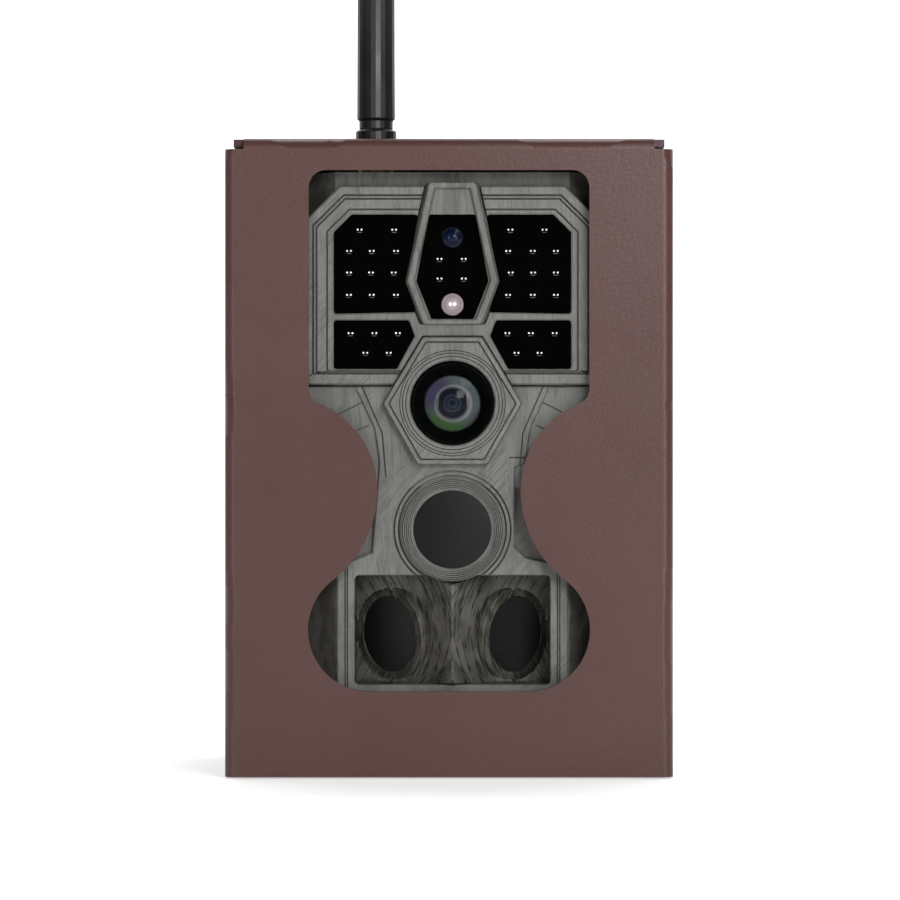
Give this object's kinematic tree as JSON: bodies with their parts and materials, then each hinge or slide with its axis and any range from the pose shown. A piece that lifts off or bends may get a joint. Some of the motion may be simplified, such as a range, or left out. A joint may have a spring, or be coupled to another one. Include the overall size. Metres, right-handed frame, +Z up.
{
  "type": "trail camera in a security box",
  "caption": "Camouflage trail camera with infrared windows, lens, motion sensors and stub antenna, locked in a hinged bent-steel box with a shaped window.",
  "frame": {"origin": "middle of the box's base, half way between its front and back faces", "axes": "+Z up along the antenna, +X to the right of someone facing the lens, +Y from the lens towards the tree"},
  "size_m": [0.118, 0.092, 0.2421],
  "materials": {
    "powder_coated_steel": "fine-textured brown powder coat",
    "bark_camouflage_plastic": "matt, with a dipped bark pattern",
    "infrared_window": "polished, passes infrared",
    "black_plastic": "satin moulded",
    "sensor_lens": "satin, thin Fresnel lens",
    "lens_glass": "coated and polished",
    "lcd_glass": "polished",
    "inner_plastic": "fine spark-eroded texture",
    "circuit_board": "solder mask",
    "zinc_steel": "zinc plated",
    "brass": "machined",
    "seal_rubber": "matt",
    "cell_jacket": "printed sleeve, left plain",
    "card_plastic": "smooth"
  },
  "bodies": {
    "box": {"box_tray": "powder_coated_steel", "box_hinge_pin": "zinc_steel", "camera_shelf": "powder_coated_steel", "tripod_screw": "zinc_steel", "rear_shell": "bark_camouflage_plastic", "tripod_insert": "brass", "battery_holder": "inner_plastic", "battery_1": "cell_jacket", "battery_2": "cell_jacket", "battery_3": "cell_jacket", "battery_4": "cell_jacket", "battery_5": "cell_jacket", "battery_6": "cell_jacket", "battery_7": "cell_jacket", "battery_8": "cell_jacket", "shell_seal": "seal_rubber", "camera_hinge_pin": "zinc_steel"},
    "cover": {"box_cover": "powder_coated_steel"},
    "camera_front": {"front_shell": "bark_camouflage_plastic", "ir_frame": "bark_camouflage_plastic", "centre_bezel": "bark_camouflage_plastic", "ir_window_upper_left": "infrared_window", "ir_window_upper_right": "infrared_window", "ir_window_lower_left": "infrared_window", "ir_window_lower_right": "infrared_window", "ir_window_centre": "infrared_window", "led_board": "circuit_board", "light_sensor": "lens_glass", "flash_led": "lens_glass", "lens_bezel": "bark_camouflage_plastic", "lens_hood": "black_plastic", "lens_glass": "lens_glass", "lens_barrel": "black_plastic", "sensor_board": "circuit_board", "pir_ring": "bark_camouflage_plastic", "pir_lens_front": "sensor_lens", "pir_sensor_front": "zinc_steel", "sensor_block": "bark_camouflage_plastic", "pir_lens_left": "sensor_lens", "pir_lens_right": "sensor_lens", "pir_sensor_left": "zinc_steel", "pir_sensor_right": "zinc_steel", "pir_bracket": "inner_plastic", "main_board": "circuit_board", "control_panel": "inner_plastic", "lcd_screen": "lcd_glass", "antenna_connector": "brass", "antenna_lead": "black_plastic"},
    "antenna": {"antenna_base": "black_plastic", "antenna_mast": "black_plastic"},
    "latch_upper": {"latch_upper": "bark_camouflage_plastic"},
    "latch_lower": {"latch_lower": "bark_camouflage_plastic"},
    "button_up": {"button_up": "black_plastic"},
    "button_down": {"button_down": "black_plastic"},
    "button_left": {"button_left": "black_plastic"},
    "button_right": {"button_right": "black_plastic"},
    "button_ok": {"button_ok": "black_plastic"},
    "power_switch": {"power_switch": "black_plastic"},
    "sd_card": {"sd_card": "card_plastic"},
    "ir_cut_filter": {"ir_cut_filter": "lens_glass"}
  },
  "joints": [
    {"name": "cover_hinge", "type": "hinge", "parent": "box", "child": "cover", "pos_m": [-0.0565, 0.012, 0], "axis": [0, 0, 1], "range_deg": [-90, 0]},
    {"name": "camera_hinge", "type": "hinge", "parent": "box", "child": "camera_front", "pos_m": [-0.0508, 0.012, 0], "axis": [0, 0, 1], "range_deg": [-90, 0]},
    {"name": "antenna_turn", "type": "hinge", "parent": "camera_front", "child": "antenna", "pos_m": [-0.0196, -0.02, 0.162], "axis": [0, 0, 1], "continuous": true},
    {"name": "latch_upper_swing", "type": "hinge", "parent": "box", "child": "latch_upper", "pos_m": [0.0526, 0.0195, 0.126], "axis": [0, 0, 1], "range_deg": [-7, 3]},
    {"name": "latch_lower_swing", "type": "hinge", "parent": "box", "child": "latch_lower", "pos_m": [0.0526, 0.0195, 0.046], "axis": [0, 0, 1], "range_deg": [-7, 3]},
    {"name": "button_up_press", "type": "slide", "parent": "camera_front", "child": "button_up", "axis": [0, -1, 0], "range_m": [0, 0.0008], "stiffness_N_per_m": 1200},
    {"name": "button_down_press", "type": "slide", "parent": "camera_front", "child": "button_down", "axis": [0, -1, 0], "range_m": [0, 0.0008], "stiffness_N_per_m": 1200},
    {"name": "button_left_press", "type": "slide", "parent": "camera_front", "child": "button_left", "axis": [0, -1, 0], "range_m": [0, 0.0008], "stiffness_N_per_m": 1200},
    {"name": "button_right_press", "type": "slide", "parent": "camera_front", "child": "button_right", "axis": [0, -1, 0], "range_m": [0, 0.0008], "stiffness_N_per_m": 1200},
    {"name": "button_ok_press", "type": "slide", "parent": "camera_front", "child": "button_ok", "axis": [0, -1, 0], "range_m": [0, 0.0008], "stiffness_N_per_m": 1200},
    {"name": "power_switch_slide", "type": "slide", "parent": "camera_front", "child": "power_switch", "axis": [-1, 0, 0], "range_m": [0, 0.007]},
    {"name": "sd_card_slide", "type": "slide", "parent": "camera_front", "child": "sd_card", "axis": [0, 0, -1], "range_m": [-0.001, 0.006]},
    {"name": "ir_cut_slide", "type": "slide", "parent": "camera_front", "child": "ir_cut_filter", "axis": [1, 0, 0], "range_m": [0, 0.006]}
  ],
  "couplings": [
    {"joint": "camera_hinge", "follows": "cover_hinge", "ratio": 1}
  ]
}
